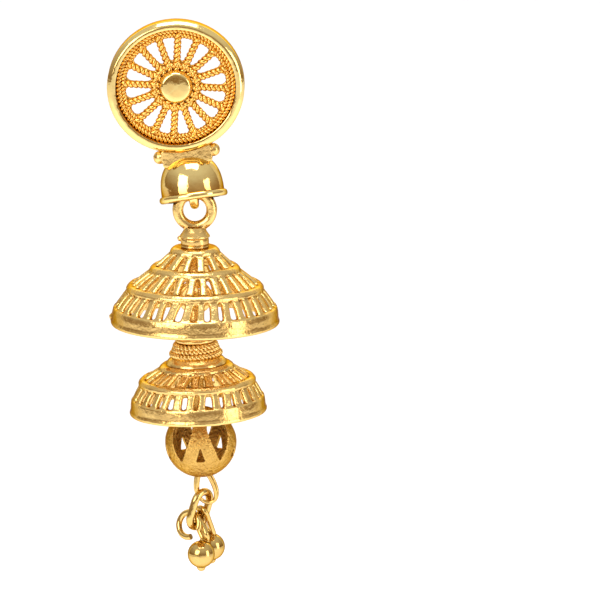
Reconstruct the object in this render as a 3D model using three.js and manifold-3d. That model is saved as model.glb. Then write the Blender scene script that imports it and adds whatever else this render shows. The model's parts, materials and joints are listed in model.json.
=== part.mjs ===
// Jhumka earring: a wheel-shaped stud with a small cap under it, a wide pierced bell that
// hangs from the cap, a narrower pierced bell under that, a pierced ball and a short tassel.
// Millimetres, +Z up. The ear lobe lies against the back of the disc, at Y = 0, and the
// origin is where the post goes into it. The front looks along -Y.

import * as THREE from "three";
import { mergeVertices } from "three/addons/utils/BufferGeometryUtils.js";
import Module from "manifold-3d";

const wasm = await Module();
wasm.setup();

// Stud disc
const DISC_R = 7.45;
const DISC_DEPTH = 2.3;
const BEZEL_FACE = 0.95;
const BEZEL_CHAMFER = 0.3;
const DISC_SIDES = 36;
const WIRE_RING_WIDTH = 0.9;
const WIRE_RING_FRONT = 1.25;
const WIRE_RING_BACK = 0.35;
const SPOKES = 16;
const SPOKE_R = 0.34;
const SPOKE_SIDES = 5;
const SPOKE_START_R = 1.5;
const HUB_R = 2.5;
const HUB_DEPTH = 1.1;
const STUD_LEAN = 8.7;

// Boss on the hub
const BOSS_R = 1.87;
const BOSS_HEIGHT = 1.25;
const BOSS_FACE_R = 1.35;
const BOSS_SIDES = 24;
const BOSS_PROFILE = [
  { out: 1, up: 0 },
  { out: 0.93, up: 0.45 },
  { out: 0.5, up: 0.85 },
  { out: 0, up: 1 },
];

// Post at the back
const POST_R = 0.45;
const POST_LENGTH = 10.5;
const POST_PAD_R = 1.2;
const POST_PAD_DEPTH = 0.4;
const POST_SIDES = 12;

// Bridge and granules between disc and cap
const BRIDGE_WIDTH = 5.4;
const BRIDGE_HEIGHT = 2.0;
const BRIDGE_DEPTH = 1.5;
const BRIDGE_OVERLAP = 0.45;
const GRANULE_R = 0.72;
const GRANULE_SPREAD = 2.94;
const BEAD_SIDES = 12;
const BEAD_ROWS = 8;

// Cap and its hook
const CAP_R = 3.45;
const CAP_HEIGHT = 4.9;
const CAP_FULLNESS = 0.78;
const CAP_WALL = 0.55;
const CAP_LIP = 0.3;
const CAP_LIP_HEIGHT = 0.75;
const CAP_LIP_PROFILE = [
  { out: 0, up: 0.85 },
  { out: 1, up: 0.6 },
  { out: 1, up: 0.25 },
  { out: 0, up: 0 },
];
const CAP_PITCH = 12;
const CAP_BELOW_DISC = 5.25;
const CAP_SIDES = 20;
const CAP_STEPS = 5;
const HOOK_BELOW = 0.5;
const HOOK_R = 1.35;
const HOOK_WIRE_R = 0.5;

// Running clearance of one ring in another, and the seat between pieces fixed together
const RING_GAP = 0.15;
const SEAT_GAP = 0.1;

// Loop, neck and collar on the upper bell
const LOOP_HOLE_R = 1.24;
const LOOP_WIRE_R = 0.6;
const NECK_R = 1.2;
const NECK_TOP_R = 0.9;
const NECK_BITE = 0.36;
const COLLAR_BELOW = 0.12;
const COLLAR_R = 1.65;
const COLLAR_FOOT_R = 1.4;
const COLLAR_HEIGHT = 1.95;
const COLLAR_SHOULDER = 0.3;
const COLLAR_FOOT = 0.75;
const COLLAR_SIDES = 20;

// Upper bell
const UPPER_RIM_R = 9.1;
const UPPER_HEIGHT = 8.2;
const UPPER_SIDES = 36;
const BELL_WALL = 0.65;
const RING_PROUD = 0.28;
const BAR_WIDTH = 0.72;
const BAR_SLANT = 0.25;
const GAP_INSET = 0.42;
const GAP_CUT_OUTSIDE = 0.9;
const GAP_CUT_INSIDE = 1.7;

// Eye inside the upper bell, and the eye of the lower tier that hangs in it
const INNER_EYE_R = 1.1;
const INNER_EYE_WIRE_R = 0.4;
const INNER_STEM_R = 0.6;
const INNER_EYE_DROP = 4.8;
const LOWER_EYE_HOLE_R = 1.05;
const LOWER_EYE_WIRE_R = 0.42;
const LOWER_EYE_STEM_R = 0.75;

// Lower neck
const NECK_PLATE_R = 2.25;
const NECK_HEIGHT = 2.75;
const NECK_FLANGE_R = 3.85;
const NECK_SIDES = 24;
const NECK_PROFILE = [
  { radius: 0.9, depth: 0 },
  { radius: 1, depth: 0.06 },
  { radius: 1, depth: 0.14 },
  { radius: 0.93, depth: 0.2 },
  { radius: 1.12, depth: 0.3 },
  { radius: 1.12, depth: 0.42 },
  { radius: 1, depth: 0.5 },
  { radius: 1.29, depth: 0.6 },
  { radius: 1.29, depth: 0.72 },
  { radius: 1.2, depth: 0.78 },
];
const FLANGE_TOP = 0.9;
const NECK_STEM_END = 0.1;
const NECK_BELOW_EYE = 4.9;
const LOWER_LEAN = 2.1;

// Lower bell
const LOWER_RIM_R = 7.4;
const LOWER_HEIGHT = 5.2;
const LOWER_SIDES = 30;

// Pierced ball
const BALL_R = 3.93;
const BALL_WALL = 0.5;
const BALL_DROP = 11.8;
const BALL_SHIFT = 0.13;
const BALL_SIDES = 15;
const BALL_ROWS = 9;
const BALL_WINDOWS = 5;
const BALL_WINDOW_WIDTH = 2.0;
const BALL_TRIANGLE_WIDTH = 0.96;
const BALL_CUT_START = 1.2;
const BALL_STEM_R = 0.7;
const BALL_HOLE_R = 0.44;
const BALL_HOLE_SPREAD = 0.58;
const BALL_HOLE_TOP = 2.4;
const STEM_SIDES = 9;

// The ball's windows, right half of each from its lowest point up: across as a share of the
// window's width and up as a share of the ball's radius
const TALL_WINDOW = [
  { across: 0, up: -0.3 },
  { across: 0.5, up: 0.12 },
  { across: 0.5, up: 0.45 },
  { across: 0.3, up: 0.68 },
];
const SMALL_WINDOW = [
  { across: 0.5, up: -0.38 },
  { across: 0, up: 0.04 },
];

// Tassel: its length from the ball down to the lower drop's nub, the first link's loop, the
// second link, the open ring, the two drops and their eyes
const TASSEL_LENGTH = 10;
const LINK_1_WIRE_R = 0.24;
const LINK_1_TOP_WIDTH = 0.62;
const LINK_1_LOW_WIDTH = 1.4;
const LINK_2_HALF = 1.2;
const LINK_2_WIRE_R = 0.42;
const OPEN_RING_R = 1.38;
const OPEN_RING_WIRE_R = 0.32;
const OPEN_RING_FROM = -30;
const OPEN_RING_TO = 282;
const EYE_1_HALF = 0.64;
const EYE_2_HALF = 0.62;
const EYE_WIRE_R = 0.29;
const DROP_R = 1.42;
const DROP_NECK_R = 0.4;
const DROP_NUB_R = 0.5;
const NUB_SIDES = 6;
const NUB_ROWS = 4;

const DEG = Math.PI / 180;
const DROP_Y = -DISC_DEPTH / 2;
const UP = new THREE.Vector3(0, 0, 1);
const RING_STEPS = 18;
const WIRE_STEPS = 20;
const LINK_END_STEPS = 4;
const FIRST_LINK_STEPS = 12;
const WIRE_SIDES = 6;

// One closed solid from any closed three.js geometry. Triangles that a pole has folded to
// nothing are dropped, and a form wound inwards is turned round.
function solid(geometry) {
  const bare = geometry.index ? geometry.toNonIndexed() : geometry.clone();
  bare.deleteAttribute("normal");
  bare.deleteAttribute("uv");
  const merged = mergeVertices(bare, 1e-4);
  const index = merged.index.array;
  const kept = [];
  for (let i = 0; i < index.length; i += 3) {
    const [a, b, c] = [index[i], index[i + 1], index[i + 2]];
    if (a !== b && b !== c && c !== a) kept.push(a, b, c);
  }
  const build = (triangles) =>
    new wasm.Manifold(
      new wasm.Mesh({
        numProp: 3,
        vertProperties: new Float32Array(merged.attributes.position.array),
        triVerts: new Uint32Array(triangles),
      }),
    );
  const made = build(kept);
  return made.volume() > 0 ? made : build(kept.reverse());
}

function geometryOf(body) {
  const mesh = body.getMesh();
  const geometry = new THREE.BufferGeometry();
  geometry.setAttribute("position", new THREE.BufferAttribute(mesh.vertProperties, 3));
  geometry.setIndex(new THREE.BufferAttribute(mesh.triVerts, 1));
  geometry.computeVertexNormals();
  return geometry;
}

// A form turned about the Z axis, from rows of radius and height.
function turned(rows, sides) {
  const profile = rows.map(([radius, height]) => new THREE.Vector2(radius, height));
  return new THREE.LatheGeometry(profile, sides).rotateX(Math.PI / 2);
}

// A straight round rod from one point to another.
function rod(from, to, radius, sides) {
  const along = to.clone().sub(from);
  const geometry = new THREE.CylinderGeometry(radius, radius, along.length(), sides);
  geometry.rotateX(Math.PI / 2);
  const turn = new THREE.Quaternion().setFromUnitVectors(UP, along.normalize());
  geometry.applyQuaternion(turn);
  const middle = from.clone().add(to).multiplyScalar(0.5);
  return geometry.translate(middle.x, middle.y, middle.z);
}

// A ring standing upright, seen round from the front, or edge on when turned a quarter.
function uprightRing(radius, wire, centre, edgeOn) {
  const geometry = new THREE.TorusGeometry(radius, wire, WIRE_SIDES, RING_STEPS).rotateX(Math.PI / 2);
  if (edgeOn) geometry.rotateZ(Math.PI / 2);
  return geometry.translate(centre.x, centre.y, centre.z);
}

function join(parts) {
  return parts.reduce((whole, part) => whole.add(part));
}

function gold(colour, roughness) {
  return new THREE.MeshStandardMaterial({ color: colour, roughness, metalness: 1 });
}

const polished = () => gold(0xe3b552, 0.12);
const cast = () => gold(0xd9a441, 0.3);
const satin = () => gold(0xcf9c40, 0.45);

function piece(name, body, material) {
  const mesh = new THREE.Mesh(geometryOf(body), material);
  mesh.name = name;
  return mesh;
}

const at = (x, y, z) => new THREE.Vector3(x, y, z);

// Stud disc: a bevelled bezel, a wire ring set back inside it, spokes and hub, cast as one,
// with the bridge and the granules under it.
const bezelInnerR = DISC_R - BEZEL_FACE;
const windowOuterR = bezelInnerR - WIRE_RING_WIDTH;

function bezel() {
  const ringFront = -DISC_DEPTH + WIRE_RING_FRONT;
  const rows = [
    [DISC_R, 0],
    [DISC_R, DISC_DEPTH - BEZEL_CHAMFER],
    [DISC_R - BEZEL_CHAMFER, DISC_DEPTH],
    [bezelInnerR, DISC_DEPTH],
    [bezelInnerR, -ringFront],
    [(bezelInnerR + windowOuterR) / 2, -ringFront + WIRE_RING_BACK],
    [windowOuterR, -ringFront],
    [windowOuterR, WIRE_RING_BACK],
    [bezelInnerR, 0],
    [DISC_R, 0],
  ];
  return solid(turned(rows, DISC_SIDES).rotateX(Math.PI / 2));
}

function spoke(turn) {
  const middleY = -(WIRE_RING_BACK + DISC_DEPTH - WIRE_RING_FRONT) / 2;
  const reach = (bezelInnerR + windowOuterR) / 2;
  const x = Math.sin(turn);
  const z = Math.cos(turn);
  const start = at(x * SPOKE_START_R, middleY, z * SPOKE_START_R);
  return solid(rod(start, at(x * reach, middleY, z * reach), SPOKE_R, SPOKE_SIDES));
}

function hub() {
  const rows = [
    [0, 0],
    [HUB_R - SPOKE_R, 0],
    [HUB_R, HUB_DEPTH / 2],
    [HUB_R - SPOKE_R, HUB_DEPTH],
    [0, HUB_DEPTH],
  ];
  return solid(turned(rows, SPOKES).rotateX(Math.PI / 2));
}

const bridgeTop = -(DISC_R - BEZEL_CHAMFER);
function bridge() {
  const plate = new THREE.BoxGeometry(BRIDGE_WIDTH, BRIDGE_DEPTH, BRIDGE_HEIGHT);
  plate.translate(0, DROP_Y, bridgeTop + BRIDGE_OVERLAP - BRIDGE_HEIGHT / 2);
  const granule = (side) => {
    const ball = new THREE.SphereGeometry(GRANULE_R, BEAD_SIDES, BEAD_ROWS);
    return solid(ball.translate(side * GRANULE_SPREAD, DROP_Y, bridgeTop - GRANULE_R / 2));
  };
  const seat = capForm([...capOutside(SEAT_GAP), [0, 0]]);
  return join([solid(plate), granule(-1), granule(1)]).subtract(seat);
}

function studDisc() {
  const spokes = [];
  for (let i = 0; i < SPOKES; i++) spokes.push(spoke(((i + 0.5) / SPOKES) * 2 * Math.PI));
  return join([bezel(), hub(), ...spokes, bridge()]);
}

function centreBoss() {
  const side = BOSS_PROFILE.map(({ out, up }) => [
    BOSS_FACE_R + (BOSS_R - BOSS_FACE_R) * out,
    HUB_DEPTH + BOSS_HEIGHT * up,
  ]);
  const rows = [[0, HUB_DEPTH], ...side, [0, HUB_DEPTH + BOSS_HEIGHT]];
  return solid(turned(rows, BOSS_SIDES).rotateX(Math.PI / 2));
}

function earPost() {
  const rows = [
    [0, 0],
    [POST_PAD_R, 0],
    [POST_PAD_R, POST_PAD_DEPTH],
    [POST_R, POST_PAD_DEPTH],
    [POST_R, POST_LENGTH - POST_R],
    [0, POST_LENGTH],
  ];
  return solid(turned(rows, POST_SIDES).rotateX(-Math.PI / 2));
}

// Cap: a polished half dome with a rim bead, tipped a little towards the front, with the
// hook ring and its stem soldered inside. It is placed in the stud's own leaning frame.
const capPlace = at(0, DROP_Y, -DISC_R - CAP_BELOW_DISC);
const hookLow = capPlace.clone().add(at(0, 0, -HOOK_BELOW));
const hookPlace = hookLow.clone().add(at(0, 0, HOOK_R));
const pivotUpper = hookLow.clone().applyAxisAngle(at(0, 1, 0), -STUD_LEAN * DEG);

// Rows from the apex down to the lip, for a full-shouldered dome of that radius and height.
function domeRows(radius, height) {
  const rows = [];
  for (let i = CAP_STEPS; i > 0; i--) {
    const a = (i / CAP_STEPS) * Math.PI * 0.5;
    const above = (height - CAP_LIP_HEIGHT) * Math.sin(a) ** CAP_FULLNESS;
    const out = i === CAP_STEPS ? 0 : radius * Math.cos(a) ** CAP_FULLNESS;
    rows.push([out, CAP_LIP_HEIGHT + above]);
  }
  return rows;
}

function capForm(rows) {
  const form = turned(rows, CAP_SIDES).rotateX(-CAP_PITCH * DEG);
  return solid(form.translate(capPlace.x, capPlace.y, capPlace.z));
}

function capOutside(gap) {
  const lip = CAP_LIP_PROFILE.map(({ out, up }) => [
    CAP_R + CAP_LIP * out + gap,
    CAP_LIP_HEIGHT * up,
  ]);
  return domeRows(CAP_R + gap, CAP_HEIGHT + gap).concat(lip);
}

function cap() {
  const inside = domeRows(CAP_R - CAP_WALL, CAP_HEIGHT - CAP_WALL).reverse();
  const dome = capForm([...capOutside(0), [CAP_R - CAP_WALL, 0], ...inside]);
  const apex = at(0, 0, CAP_HEIGHT - CAP_WALL / 2)
    .applyAxisAngle(at(1, 0, 0), -CAP_PITCH * DEG)
    .add(capPlace);
  const ring = uprightRing(HOOK_R, HOOK_WIRE_R, hookPlace, true);
  const stem = rod(hookPlace.clone().add(at(0, 0, HOOK_R)), apex, HOOK_WIRE_R, STEM_SIDES);
  return join([dome, solid(stem), solid(ring)]);
}

// Upper loop: the ring that hangs on the hook, with its neck and the collar on the bell.
const loopR = LOOP_HOLE_R + LOOP_WIRE_R;
const loopCentre = pivotUpper.clone().add(at(0, 0, RING_GAP + HOOK_WIRE_R - LOOP_HOLE_R));
const neckTop = loopCentre.z - LOOP_HOLE_R - NECK_BITE;
const collarTop = loopCentre.z - loopR - COLLAR_BELOW;
const bellTop = collarTop - COLLAR_HEIGHT;
const axisX = pivotUpper.x;

function upperLoop() {
  const rows = [
    [0, neckTop],
    [NECK_TOP_R, neckTop],
    [NECK_R, collarTop],
    [COLLAR_R, collarTop - COLLAR_HEIGHT * COLLAR_SHOULDER],
    [COLLAR_R, collarTop - COLLAR_HEIGHT * COLLAR_FOOT],
    [COLLAR_FOOT_R, bellTop],
    [0, bellTop],
  ];
  const neck = solid(turned(rows, COLLAR_SIDES).translate(axisX, DROP_Y, 0));
  return solid(uprightRing(loopR, LOOP_WIRE_R, loopCentre, false)).add(neck);
}

// A pierced bell's wall as one turned form. Rows give each raised ring's radius and height
// as shares of the rim's radius and of the bell's height.
const UPPER_RINGS = [
  { radius: 0.255, height: 1.0 },
  { radius: 0.5, height: 0.755 },
  { radius: 0.785, height: 0.5 },
  { radius: 0.97, height: 0.21 },
];
const UPPER_BANDS = [12, 20, 26];
const LOWER_RINGS = [
  { radius: 0.5, height: 1.0 },
  { radius: 0.82, height: 0.7 },
  { radius: 0.97, height: 0.3 },
];
const LOWER_BANDS = [15, 22];
const RING_HALF = 0.4;

// Unit vectors along the wall, from ring to ring downwards, and square to it, outwards.
function wallDirections(from, to) {
  const length = Math.hypot(to.r - from.r, to.z - from.z);
  const down = { r: (to.r - from.r) / length, z: (to.z - from.z) / length };
  return { length, down, out: { r: -down.z, z: down.r } };
}

function ringPlaces(rings, rimR, height) {
  return rings.map((ring) => ({ r: ring.radius * rimR, z: (ring.height - 1) * height }));
}

function bellWall(rings, rimR, height, sides) {
  const places = ringPlaces(rings, rimR, height);
  const first = places[0];
  const last = places[places.length - 1];
  const outer = [[0, first.z + RING_HALF]];
  const inner = [];
  places.forEach((place, i) => {
    const before = places[Math.max(i - 1, 0)];
    const after = places[Math.min(i + 1, places.length - 1)];
    const { down, out } = wallDirections(i === 0 ? place : before, i === 0 ? after : place);
    if (i > 0) outer.push([place.r - down.r * RING_HALF, place.z - down.z * RING_HALF]);
    const proudR = place.r + out.r * RING_PROUD;
    const proudZ = place.z + out.z * RING_PROUD;
    if (i === places.length - 1) return;
    outer.push([proudR, proudZ]);
    outer.push([place.r + down.r * RING_HALF, place.z + down.z * RING_HALF]);
    inner.unshift([place.r - out.r * BELL_WALL, place.z - out.z * BELL_WALL]);
  });
  outer.push([rimR, last.z - RING_HALF]);
  outer.push([rimR + RING_PROUD / 2, -height + RING_HALF]);
  outer.push([rimR, -height]);
  inner.unshift([rimR - BELL_WALL, last.z - RING_HALF]);
  inner.unshift([rimR - BELL_WALL, -height]);
  inner.push([0, first.z - BELL_WALL]);
  return solid(turned([...outer, ...inner], sides));
}

// One cutter for a gap: a slanted four-sided opening between two rings, square to the wall.
function gapCutter(from, to, count, index) {
  const { length, down, out } = wallDirections(from, to);
  const topHalf = ((2 * Math.PI * (from.r + down.r * RING_HALF)) / count - BAR_WIDTH) / 2;
  const lowHalf = ((2 * Math.PI * (to.r - down.r * RING_HALF)) / count - BAR_WIDTH) / 2;
  const top = GAP_INSET;
  const low = length - GAP_INSET;
  const shape = new THREE.Shape();
  shape.moveTo(-topHalf + BAR_SLANT / 2, top);
  shape.lineTo(-lowHalf - BAR_SLANT / 2, low);
  shape.lineTo(lowHalf - BAR_SLANT / 2, low);
  shape.lineTo(topHalf + BAR_SLANT / 2, top);
  shape.closePath();
  const depth = GAP_CUT_OUTSIDE + GAP_CUT_INSIDE;
  const cutter = new THREE.ExtrudeGeometry(shape, { depth, bevelEnabled: false, steps: 1 });
  cutter.translate(0, 0, -GAP_CUT_INSIDE);
  const basis = new THREE.Matrix4().makeBasis(at(0, 1, 0), at(down.r, 0, down.z), at(out.r, 0, out.z));
  cutter.applyMatrix4(basis);
  cutter.translate(from.r, 0, from.z);
  return solid(cutter.rotateZ(((index + 0.5) / count) * 2 * Math.PI));
}

function piercedBell(rings, bands, rimR, height, sides) {
  const places = ringPlaces(rings, rimR, height);
  let wall = bellWall(rings, rimR, height, sides);
  bands.forEach((count, band) => {
    for (let i = 0; i < count; i++) {
      wall = wall.subtract(gapCutter(places[band], places[band + 1], count, i));
    }
  });
  return wall;
}

// Upper bell, with the eye that the lower tier hangs in standing under its crown.
const bellTopZ = bellTop - SEAT_GAP - RING_HALF;
const pivotLower = at(axisX, DROP_Y, bellTopZ - INNER_EYE_DROP);

function upperBell() {
  const wall = piercedBell(UPPER_RINGS, UPPER_BANDS, UPPER_RIM_R, UPPER_HEIGHT, UPPER_SIDES);
  const eyeCentre = pivotLower.clone().add(at(0, 0, INNER_EYE_R));
  const ring = uprightRing(INNER_EYE_R, INNER_EYE_WIRE_R, eyeCentre, true);
  const stemTop = at(axisX, DROP_Y, bellTopZ - BELL_WALL / 2);
  const stem = rod(eyeCentre.clone().add(at(0, 0, INNER_EYE_R)), stemTop, INNER_STEM_R, STEM_SIDES);
  return join([wall.translate([axisX, DROP_Y, bellTopZ]), solid(stem), solid(ring)]);
}

// Lower neck: the eye on its stem, and a plate, two corded rings and a flange under it.
const neckCentre = pivotLower.clone().add(at(0, 0, -NECK_BELOW_EYE));
const lowerEyeR = LOWER_EYE_HOLE_R + LOWER_EYE_WIRE_R;
const lowerEyeCentre = pivotLower
  .clone()
  .add(at(0, 0, RING_GAP + INNER_EYE_WIRE_R - LOWER_EYE_HOLE_R));

function lowerNeck() {
  const side = NECK_PROFILE.map(({ radius, depth }) => [radius * NECK_PLATE_R, -depth * NECK_HEIGHT]);
  const flange = [
    [NECK_FLANGE_R, -FLANGE_TOP * NECK_HEIGHT],
    [NECK_FLANGE_R, -NECK_HEIGHT],
  ];
  const rows = [[0, 0], ...side, ...flange, [0, -NECK_HEIGHT]];
  const turnedNeck = turned(rows, NECK_SIDES).rotateY(-LOWER_LEAN * DEG);
  const neck = solid(turnedNeck.translate(neckCentre.x, neckCentre.y, neckCentre.z));
  const ring = uprightRing(lowerEyeR, LOWER_EYE_WIRE_R, lowerEyeCentre, false);
  const from = lowerEyeCentre.clone().add(at(0, 0, -lowerEyeR));
  const to = neckCentre.clone().add(at(0, 0, -NECK_HEIGHT * NECK_STEM_END));
  return join([neck, solid(rod(from, to, LOWER_EYE_STEM_R, STEM_SIDES)), solid(ring)]);
}

function lowerBell() {
  return piercedBell(LOWER_RINGS, LOWER_BANDS, LOWER_RIM_R, LOWER_HEIGHT, LOWER_SIDES);
}

// Pierced ball on its stem, with two holes under it for the first link.
function ballCutter(width, half, turn) {
  const right = half.map(({ across, up }) => new THREE.Vector2(across * width, up * BALL_R));
  const left = right.filter((point) => point.x > 0).map((point) => new THREE.Vector2(-point.x, point.y));
  const shape = new THREE.Shape([...right, ...left.reverse()]);
  const cutter = new THREE.ExtrudeGeometry(shape, {
    depth: BALL_R,
    bevelEnabled: false,
    steps: 1,
  });
  cutter.rotateX(Math.PI / 2).translate(0, -BALL_CUT_START, 0);
  return solid(cutter.rotateZ(turn));
}

function piercedBall() {
  const top = NECK_HEIGHT + 2 * SEAT_GAP + RING_HALF + BELL_WALL;
  const shell = new THREE.SphereGeometry(BALL_R, BALL_SIDES, BALL_ROWS).rotateX(Math.PI / 2);
  const hollow = new THREE.SphereGeometry(BALL_R - BALL_WALL, BALL_SIDES, BALL_ROWS).rotateX(Math.PI / 2);
  let ball = solid(shell).subtract(solid(hollow));
  for (let i = 0; i < BALL_WINDOWS; i++) {
    const turn = (i / BALL_WINDOWS) * 2 * Math.PI;
    ball = ball.subtract(ballCutter(BALL_WINDOW_WIDTH, TALL_WINDOW, turn + Math.PI / BALL_WINDOWS));
    ball = ball.subtract(ballCutter(BALL_TRIANGLE_WIDTH, SMALL_WINDOW, turn));
  }
  for (const side of [-1, 1]) {
    const x = side * BALL_HOLE_SPREAD;
    const hole = rod(at(x, 0, -2 * BALL_R), at(x, 0, -BALL_HOLE_TOP), BALL_HOLE_R, STEM_SIDES);
    ball = ball.subtract(solid(hole));
  }
  const stemTop = at(-BALL_SHIFT, 0, BALL_DROP - top - SEAT_GAP);
  const stem = rod(at(-BALL_SHIFT, 0, BALL_R - BALL_WALL), stemTop, BALL_STEM_R, STEM_SIDES);
  return ball.add(solid(stem));
}

// Tassel. Every loop and ring is placed from the ball's lowest point, where the first link
// goes through, in shares of the tassel's length. A loop has the two ends of its middle line
// and how far it is turned about its own length, in degrees.
const TASSEL_ROUTE = {
  first: { top: at(0, 0, 0.095), low: at(0.07, 0, -0.298) },
  second: { top: at(0.03, -0.01, -0.173), low: at(-0.087, -0.033, -0.562), turn: 41.8 },
  ring: { centre: at(-0.148, -0.032, -0.539), turn: -38.4, tilt: 20 },
  eyeOne: { top: at(-0.074, 0.064, -0.469), low: at(0.045, -0.052, -0.712), turn: -32.7 },
  eyeTwo: { top: at(-0.009, 0.01, -0.364), low: at(0.091, 0.176, -0.706), turn: -36.1 },
  dropOne: at(-0.013, -0.125, -0.85),
  dropTwo: at(0.095, 0.17, -0.84),
};
const tasselPlace = (share) => share.clone().multiplyScalar(TASSEL_LENGTH);

function closedWire(points, wire) {
  const curve = new THREE.CatmullRomCurve3(points, true);
  return solid(new THREE.TubeGeometry(curve, WIRE_STEPS, wire, WIRE_SIDES, true));
}

// A long loop with round ends, lying in the plane of its length and the turned Y direction.
function longLoop({ top, low, turn }, half, wire) {
  const length = tasselPlace(low.clone().sub(top)).length();
  const along = low.clone().sub(top).normalize();
  const across = at(0, 1, 0).addScaledVector(along, -along.y).normalize();
  across.applyAxisAngle(along, turn * DEG);
  const straight = length / 2 - half;
  const middle = tasselPlace(top.clone().add(low)).multiplyScalar(0.5);
  const points = [];
  for (const end of [-1, 1]) {
    for (let i = 0; i <= LINK_END_STEPS; i++) {
      const a = (i / LINK_END_STEPS) * Math.PI;
      const side = -end * half * Math.cos(a);
      const reach = end * (straight + half * Math.sin(a));
      points.push(middle.clone().addScaledVector(across, side).addScaledVector(along, reach));
    }
  }
  return closedWire(points, wire);
}

// The first link, narrow where it goes through the ball and wider below.
function firstLink() {
  const { top, low } = TASSEL_ROUTE.first;
  const points = [];
  for (let i = 0; i < FIRST_LINK_STEPS; i++) {
    const a = (i / FIRST_LINK_STEPS) * 2 * Math.PI;
    const share = (1 - Math.cos(a)) / 2;
    const width = LINK_1_TOP_WIDTH + (LINK_1_LOW_WIDTH - LINK_1_TOP_WIDTH) * share;
    const point = tasselPlace(top.clone().lerp(low, share));
    points.push(point.add(at(width * Math.sin(a), 0, 0)));
  }
  return closedWire(points, LINK_1_WIRE_R);
}

function openRing() {
  const { centre, turn, tilt } = TASSEL_ROUTE.ring;
  const rise = at(0, Math.sin(tilt * DEG), Math.cos(tilt * DEG));
  const across = at(Math.cos(turn * DEG), Math.sin(turn * DEG), 0);
  across.addScaledVector(rise, -across.dot(rise)).normalize();
  const points = [];
  for (let i = 0; i <= RING_STEPS; i++) {
    const a = (OPEN_RING_FROM + ((OPEN_RING_TO - OPEN_RING_FROM) * i) / RING_STEPS) * DEG;
    const point = tasselPlace(centre).addScaledVector(across, OPEN_RING_R * Math.cos(a));
    points.push(point.addScaledVector(rise, OPEN_RING_R * Math.sin(a)));
  }
  const section = new THREE.Shape();
  section.absarc(0, 0, OPEN_RING_WIRE_R, 0, 2 * Math.PI);
  return solid(
    new THREE.ExtrudeGeometry(section, {
      steps: RING_STEPS,
      curveSegments: WIRE_SIDES / 2,
      bevelEnabled: false,
      extrudePath: new THREE.CatmullRomCurve3(points),
    }),
  );
}

function tasselDrop(eye, half, place) {
  const ball = new THREE.SphereGeometry(DROP_R, BEAD_SIDES, BEAD_ROWS).rotateX(Math.PI / 2);
  const nub = new THREE.SphereGeometry(DROP_NUB_R, NUB_SIDES, NUB_ROWS).rotateX(Math.PI / 2);
  const centre = tasselPlace(place);
  return join([
    longLoop(eye, half, EYE_WIRE_R),
    solid(rod(centre, tasselPlace(eye.low), DROP_NECK_R, STEM_SIDES)),
    solid(ball.translate(centre.x, centre.y, centre.z)),
    solid(nub.translate(centre.x, centre.y, centre.z - DROP_R)),
  ]);
}

// Assembly
const earring = new THREE.Group();
const stud = new THREE.Group();
stud.rotation.y = -STUD_LEAN * DEG;
stud.add(piece("stud_disc", studDisc(), cast()));
stud.add(piece("stud_cap", cap(), polished()));
stud.add(piece("centre_boss", centreBoss(), polished()));
stud.add(piece("ear_post", earPost(), polished()));
earring.add(stud);
earring.add(piece("upper_loop", upperLoop(), cast()));
earring.add(piece("upper_bell", upperBell(), cast()));
earring.add(piece("lower_neck", lowerNeck(), cast()));

const lowerTier = new THREE.Group();
lowerTier.position.copy(neckCentre);
lowerTier.rotation.y = -LOWER_LEAN * DEG;
const lowerWall = piece("lower_bell", lowerBell(), cast());
lowerWall.position.z = -NECK_HEIGHT - SEAT_GAP - RING_HALF;
const ball = piece("pierced_ball", piercedBall(), satin());
ball.position.set(BALL_SHIFT, 0, -BALL_DROP);
lowerTier.add(lowerWall, ball);
earring.add(lowerTier);

const tassel = new THREE.Group();
lowerTier.updateMatrixWorld(true);
tassel.position.copy(lowerTier.localToWorld(at(BALL_SHIFT, 0, -BALL_DROP - BALL_R)));
const { second, eyeOne, eyeTwo, dropOne, dropTwo } = TASSEL_ROUTE;
tassel.add(piece("tassel_link_1", firstLink(), polished()));
tassel.add(piece("tassel_link_2", longLoop(second, LINK_2_HALF, LINK_2_WIRE_R), polished()));
tassel.add(piece("tassel_link_3", openRing(), polished()));
tassel.add(piece("tassel_drop_1", tasselDrop(eyeOne, EYE_1_HALF, dropOne), polished()));
tassel.add(piece("tassel_drop_2", tasselDrop(eyeTwo, EYE_2_HALF, dropTwo), polished()));
earring.add(tassel);

export default earring;
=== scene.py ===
# Jhumka earring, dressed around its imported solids. All pieces are shaped in millimetres and
# brought to metres when they are finished.
import json
import math

import bmesh
import bpy
from mathutils import Matrix, Vector


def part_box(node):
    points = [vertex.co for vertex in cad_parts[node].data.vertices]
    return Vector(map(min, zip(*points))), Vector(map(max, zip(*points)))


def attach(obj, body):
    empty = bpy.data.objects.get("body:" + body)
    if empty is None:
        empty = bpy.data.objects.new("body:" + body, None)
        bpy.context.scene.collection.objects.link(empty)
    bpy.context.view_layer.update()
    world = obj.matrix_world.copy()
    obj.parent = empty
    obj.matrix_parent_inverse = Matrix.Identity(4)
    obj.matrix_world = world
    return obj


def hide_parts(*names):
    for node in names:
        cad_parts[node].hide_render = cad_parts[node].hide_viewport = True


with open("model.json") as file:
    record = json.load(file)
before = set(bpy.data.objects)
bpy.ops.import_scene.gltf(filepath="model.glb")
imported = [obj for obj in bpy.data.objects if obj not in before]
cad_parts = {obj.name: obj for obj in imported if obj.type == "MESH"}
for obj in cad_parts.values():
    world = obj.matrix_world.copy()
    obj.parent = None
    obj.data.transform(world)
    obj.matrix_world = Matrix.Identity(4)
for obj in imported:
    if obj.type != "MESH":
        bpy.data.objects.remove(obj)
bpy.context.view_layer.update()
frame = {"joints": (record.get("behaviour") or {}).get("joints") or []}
scene = bpy.context.scene
MM = 0.001

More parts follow.
